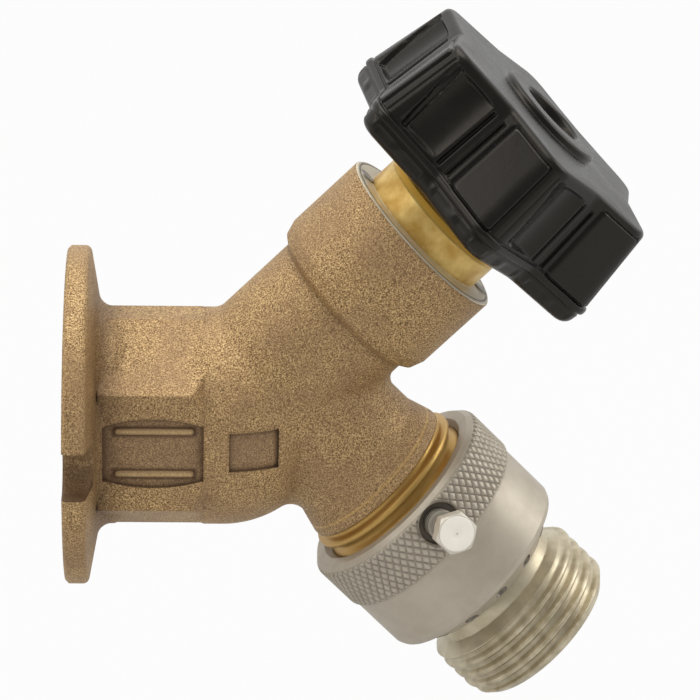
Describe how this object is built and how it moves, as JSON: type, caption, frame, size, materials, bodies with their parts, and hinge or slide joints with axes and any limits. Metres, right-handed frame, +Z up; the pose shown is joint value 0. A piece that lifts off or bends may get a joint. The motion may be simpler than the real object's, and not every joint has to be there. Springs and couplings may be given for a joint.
{
  "type": "wall-mounted tap",
  "caption": "Wall-mounted garden tap in cast bronze with a slanting bonnet, a lobed black handle, and a nickel vacuum breaker with a hose thread on its slanting outlet.",
  "frame": {"origin": "centre of the flange's wall face, on the inlet's axis", "axes": "+X out of the wall along the inlet, +Z up; the bonnet slants up and the outlet slants down in the XZ plane"},
  "size_m": [0.0831, 0.0498, 0.1042],
  "materials": {
    "cast_bronze": "sand-cast and blasted, satin",
    "brass": "turned",
    "nickel": "satin nickel plate",
    "black_plastic": "gloss",
    "rubber": "matt",
    "packing": "braided graphite",
    "steel": "satin"
  },
  "bodies": {
    "tap_body": {"body": "cast_bronze", "valve_seat": "brass", "guide_bush": "brass", "bonnet_gasket": "rubber", "bonnet": "brass", "lock_pin_1": "brass", "lock_pin_2": "brass", "thrust_washer": "steel", "packing": "packing", "gland_nut": "brass", "breaker_body": "nickel", "breaker_gasket": "rubber", "air_seal": "rubber", "poppet_spring": "steel", "hose_nozzle": "nickel", "lock_screw": "nickel"},
    "rod": {"operating_rod": "brass", "seat_washer": "rubber", "washer_screw": "steel"},
    "handwheel": {"handle": "black_plastic", "handle_insert": "brass", "handle_washer": "steel", "handle_screw": "steel", "spindle": "brass"},
    "check_poppet": {"poppet": "brass", "poppet_seal": "rubber"}
  },
  "joints": [
    {"name": "handle_turn", "type": "hinge", "parent": "tap_body", "child": "handwheel", "pos_m": [0.02306, 0, 0], "axis": [0.7071, 0, 0.7071], "range_deg": [0, 540]},
    {"name": "rod_slide", "type": "slide", "parent": "tap_body", "child": "rod", "axis": [0.7071, 0, 0.7071], "range_m": [0, 0.0045]},
    {"name": "poppet_slide", "type": "slide", "parent": "tap_body", "child": "check_poppet", "axis": [0.7071, 0, -0.7071], "range_m": [0, 0.0025], "stiffness_N_per_m": 200, "springref_m": -0.008, "deforming": ["poppet_spring"]}
  ],
  "couplings": [
    {"joint": "handle_turn", "follows": "rod_slide", "rad_per_m": 2094.4}
  ]
}
